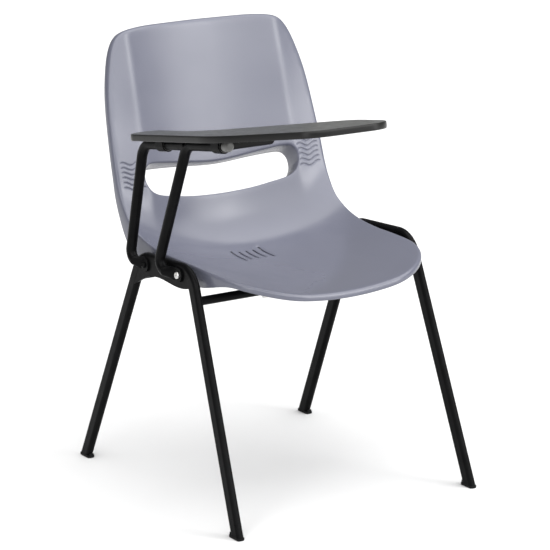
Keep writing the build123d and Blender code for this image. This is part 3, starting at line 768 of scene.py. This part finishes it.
# ---- Writing tablet ----------------------------------------------------------------------
RAIL_TILT = math.atan(0.1663)
DESK_ORIGIN = np.array([-252, 0, 652.5])
DESK_BACK = np.array([0, math.cos(RAIL_TILT), -math.sin(RAIL_TILT)])
DESK_UP = np.array([0, math.sin(RAIL_TILT), math.cos(RAIL_TILT)])
TABLET_CORNERS = [(8, 9), (-56, 9), (-56, -290), (42, -452), (203, -463), (203, -331), (8, -143)]
TABLET_RADII = [22, 34, 180, 60, 52, 62, 120]
TABLET_LOW, TABLET_HIGH = 12, 24
BAND = 2.5
NOSE_BULGE, NOSE_RISE = 0.5, 0.8  # exponents of the edging's rounded section


def rounded_loop(corners, radii, step=3.0):
    """Closed outline with its corners rounded, as points and outward directions."""
    points = []
    corners = np.array(corners, dtype=float)
    for before, at, after, radius in zip(np.roll(corners, 1, axis=0), corners,
                                         np.roll(corners, -1, axis=0), radii):
        come, leave = unit(at - before), unit(after - at)
        turn = math.atan2(come[0] * leave[1] - come[1] * leave[0], come @ leave)
        side = math.copysign(1, turn)
        cut = radius * math.tan(abs(turn) / 2)
        centre = at - come * cut + side * radius * np.array([-come[1], come[0]])
        start = math.atan2(*(at - come * cut - centre)[::-1])
        count = max(4, int(abs(turn) * radius / step))
        for k in range(count + 1):
            angle = start + turn * k / count
            points.append(centre + radius * np.array([math.cos(angle), math.sin(angle)]))
    points = np.array(points)
    around = unit(np.roll(points, -1, axis=0) - np.roll(points, 1, axis=0))
    out = np.stack([around[:, 1], -around[:, 0]], 1)
    following = np.roll(points, -1, axis=0)
    area = np.sum(points[:, 0] * following[:, 1] - points[:, 1] * following[:, 0])
    return points, out * math.copysign(1, area)


def on_desk(flat, height):
    """Tablet coordinates (across, backwards) and height above the rail to millimetres."""
    return (DESK_ORIGIN + flat[:, :1] * np.array([1, 0, 0]) + flat[:, 1:] * DESK_BACK
            + height * DESK_UP)


def sweep(points, out, section, wrap):
    """Rings of a section (offset, height) carried round an outline."""
    rings = [on_desk(points + out * offset, height) for offset, height in section]
    count = len(points)
    rows = [list(range(i * count, (i + 1) * count)) for i in range(len(rings))]
    if wrap:
        rows.append(rows[0])
    return np.concatenate(rings), bridge(rows), rows


def build_tablet():
    points, out = rounded_loop(TABLET_CORNERS, TABLET_RADII)
    middle = (TABLET_LOW + TABLET_HIGH) / 2
    half = (TABLET_HIGH - TABLET_LOW) / 2
    nose = []
    for angle in np.radians(np.linspace(90, -90, 13)):
        bulge = abs(math.cos(angle)) ** NOSE_BULGE * BAND
        rise = abs(math.sin(angle)) ** NOSE_RISE
        nose.append((bulge - BAND, middle + half * math.copysign(rise, math.sin(angle))))
    section = [(-BAND - 1.5, TABLET_HIGH - 1.2), (-BAND - 0.02, TABLET_HIGH - 0.4), *nose,
               (-BAND - 0.02, TABLET_LOW + 0.4), (-BAND - 1.5, TABLET_LOW + 1.2)]
    vertices, faces, _ = sweep(points, out, section, True)
    band = make_piece("tablet_edge_moulding", placed(vertices), faces, EDGE, "tablet")
    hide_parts("tablet_edge_band")
    board_section = [(-BAND - 0.55, TABLET_HIGH), (-BAND - 0.15, TABLET_HIGH - 0.2),
                     (-BAND - 0.05, TABLET_HIGH - 0.6), (-BAND - 0.05, TABLET_LOW + 0.6),
                     (-BAND - 0.15, TABLET_LOW + 0.2), (-BAND - 0.55, TABLET_LOW)]
    vertices, faces, rows = sweep(points, out, board_section, False)
    sides = len(faces)
    faces += [tuple(rows[0]), tuple(rows[-1])[::-1]]
    board = make_piece("tablet_board_faced", placed(vertices), faces, TOP, "tablet")
    board.data.materials.append(BACKER)
    board.data.polygons[sides + 1].material_index = 1
    for cap in (sides, sides + 1):
        board.data.polygons[cap].use_smooth = False
    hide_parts("tablet_board")
    face_outwards(band)
    face_outwards(board)


build_tablet()

# ---- Camera, floor and lights ----------------------------------------------------------
TARGET = placed((0, 0, 378))
CAMERA_PLACE = placed((-2726.5, -4169.7, 1717.6))
lens = bpy.data.cameras.new("camera")
lens.sensor_width = 36
lens.lens = 185.0
lens.clip_end = 100
camera = bpy.data.objects.new("camera", lens)
bpy.context.scene.collection.objects.link(camera)
camera.location = Vector(CAMERA_PLACE)
camera.rotation_mode = "QUATERNION"
camera.rotation_quaternion = (Vector(TARGET) - Vector(CAMERA_PLACE)).to_track_quat("-Z", "Y")
bpy.context.scene.camera = camera
bpy.context.scene.view_settings.view_transform = "Standard"

FLOOR = 12.0  # half width, metres
floor_mesh = bpy.data.meshes.new("floor")
corners = [(-FLOOR, -FLOOR, 0), (FLOOR, -FLOOR, 0), (FLOOR, FLOOR, 0), (-FLOOR, FLOOR, 0)]
floor_mesh.from_pydata(corners, [], [(0, 1, 2, 3)])
floor = bpy.data.objects.new("floor", floor_mesh)
bpy.context.scene.collection.objects.link(floor)
pale, pale_tree, pale_shader, pale_where = new_material("pale_floor", 0.8)
pale_cloud = remap(pale_tree, noise(pale_tree, pale_where, 3), 0.3, 0.7)
pale_tree.links.new(mix_colour(pale_tree, pale_cloud, (0.60, 0.60, 0.60), (0.62, 0.62, 0.62)),
                    pale_shader.inputs["Base Color"])
floor_mesh.materials.append(pale)


def softbox(name, place, aim, size, power):
    """Rectangular light in metres and watts, turned to face a point."""
    light = bpy.data.lights.new(name, "AREA")
    light.shape = "RECTANGLE"
    light.size, light.size_y = size
    light.energy = power
    lamp = bpy.data.objects.new(name, light)
    bpy.context.scene.collection.objects.link(lamp)
    lamp.location = place
    lamp.rotation_mode = "QUATERNION"
    lamp.rotation_quaternion = (Vector(aim) - Vector(place)).to_track_quat("-Z", "Y")


softbox("strip_softbox", (1.86, -2.3, 1.25), placed((0, 200, 620)), (0.85, 2.2), 29)
softbox("rim_softbox", (-3.1, -1.9, 1.5), placed((0, 0, 450)), (0.7, 2.2), 24)
overhead = bpy.data.lights.new("overhead", "SUN")
overhead.energy = 6.2
overhead.angle = math.radians(100)
overhead_lamp = bpy.data.objects.new("overhead", overhead)
overhead_lamp.location = (0, 0, 4)
overhead_lamp.rotation_euler = (math.radians(27), math.radians(4), 0)
bpy.context.scene.collection.objects.link(overhead_lamp)
FILL_STRENGTH, BACKDROP_STRENGTH = 0.32, 1.0
world = bpy.data.worlds.new("studio")
world.use_nodes = True
sky_tree = world.node_tree
sky = sky_tree.nodes["Background"]
sky.inputs["Color"].default_value = (1, 1, 1, 1)
seen = sky_tree.nodes.new("ShaderNodeLightPath").outputs["Is Camera Ray"]
brightness = remap(sky_tree, seen, 0, 1, FILL_STRENGTH, BACKDROP_STRENGTH)
sky_tree.links.new(brightness, sky.inputs["Strength"])
bpy.context.scene.world = world
